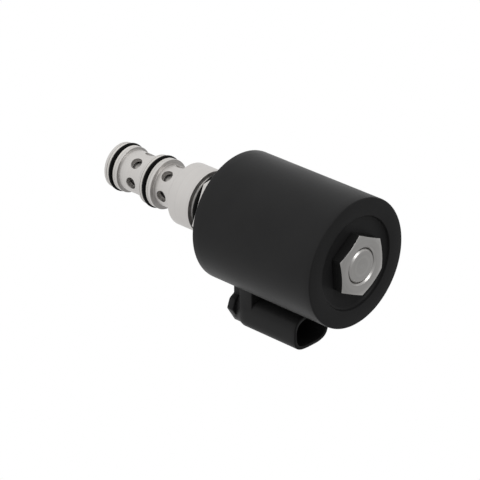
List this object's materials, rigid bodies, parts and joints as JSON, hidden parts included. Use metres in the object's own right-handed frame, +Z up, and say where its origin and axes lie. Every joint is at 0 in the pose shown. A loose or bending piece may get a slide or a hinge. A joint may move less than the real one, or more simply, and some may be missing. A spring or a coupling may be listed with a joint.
{
  "type": "solenoid cartridge valve",
  "caption": "Screw-in solenoid cartridge valve: ported cage with seals, hex body, round black coil with a moulded connector and a clamping nut.",
  "frame": {"origin": "centre of the seating face under the wrench hex, on the valve's axis", "axes": "+X along the valve's axis from the nose to the coil nut, +Z up, away from the connector, which hangs below the coil"},
  "size_m": [0.1113, 0.045, 0.0599],
  "materials": {
    "steel": "plated turned steel, satin",
    "nut_steel": "turned steel, satin",
    "spool_steel": "ground hardened steel",
    "spring_steel": "drawn spring wire",
    "iron": "machined soft magnetic iron",
    "bronze": "machined bronze",
    "contact": "tin-plated brass",
    "magnet_wire": "enamelled copper wire",
    "moulding": "glass-filled nylon, fine satin grain",
    "bobbin_resin": "moulded natural resin",
    "backup": "filled fluoropolymer, waxy",
    "seal": "nitrile rubber, satin"
  },
  "bodies": {
    "cartridge": {"cage": "steel", "hex_adapter": "steel", "guide_tube": "steel", "pole_piece": "iron", "pin_bush_lower": "bronze", "pin_bush_upper": "bronze", "anti_stick_shim": "bronze", "tube_end_plug": "nut_steel", "nose_o_ring": "seal", "nose_backup_ring_front": "backup", "nose_backup_ring_rear": "backup", "mid_o_ring": "seal", "mid_backup_ring_front": "backup", "mid_backup_ring_rear": "backup", "boss_o_ring": "seal", "return_spring": "spring_steel", "spring_seat": "spool_steel", "nose_retaining_ring": "spring_steel"},
    "armature": {"armature": "iron", "push_pin": "spool_steel"},
    "spool": {"spool": "spool_steel"},
    "coil": {"coil_housing": "moulding", "bobbin": "bobbin_resin", "winding": "magnet_wire", "flux_tube": "iron", "flux_washer_rear": "iron", "flux_washer_front": "iron", "terminal_pin_left": "contact", "terminal_pin_right": "contact", "coil_base_o_ring": "seal"},
    "nut_seal": {"nut_o_ring": "seal"},
    "coil_nut": {"coil_nut": "nut_steel"}
  },
  "joints": [
    {"name": "armature_slide", "type": "slide", "parent": "cartridge", "child": "armature", "axis": [-1, 0, 0], "range_m": [0, 0.003]},
    {"name": "spool_slide", "type": "slide", "parent": "cartridge", "child": "spool", "axis": [-1, 0, 0], "range_m": [0, 0.003], "stiffness_N_per_m": 2500, "springref_m": -0.002, "deforming": ["return_spring"]},
    {"name": "coil_swivel", "type": "hinge", "parent": "cartridge", "child": "coil", "pos_m": [0.034, 0, 0], "axis": [1, 0, 0], "continuous": true},
    {"name": "nut_advance", "type": "slide", "parent": "cartridge", "child": "nut_seal", "axis": [1, 0, 0], "range_m": [0, 0.00301]},
    {"name": "nut_turn", "type": "hinge", "parent": "nut_seal", "child": "coil_nut", "pos_m": [0.0607, 0, 0], "axis": [1, 0, 0], "range_deg": [0, 1080]}
  ],
  "couplings": [
    {"joint": "spool_slide", "follows": "armature_slide", "ratio": 1},
    {"joint": "nut_advance", "follows": "nut_turn", "m_per_rad": 0.00015915}
  ]
}
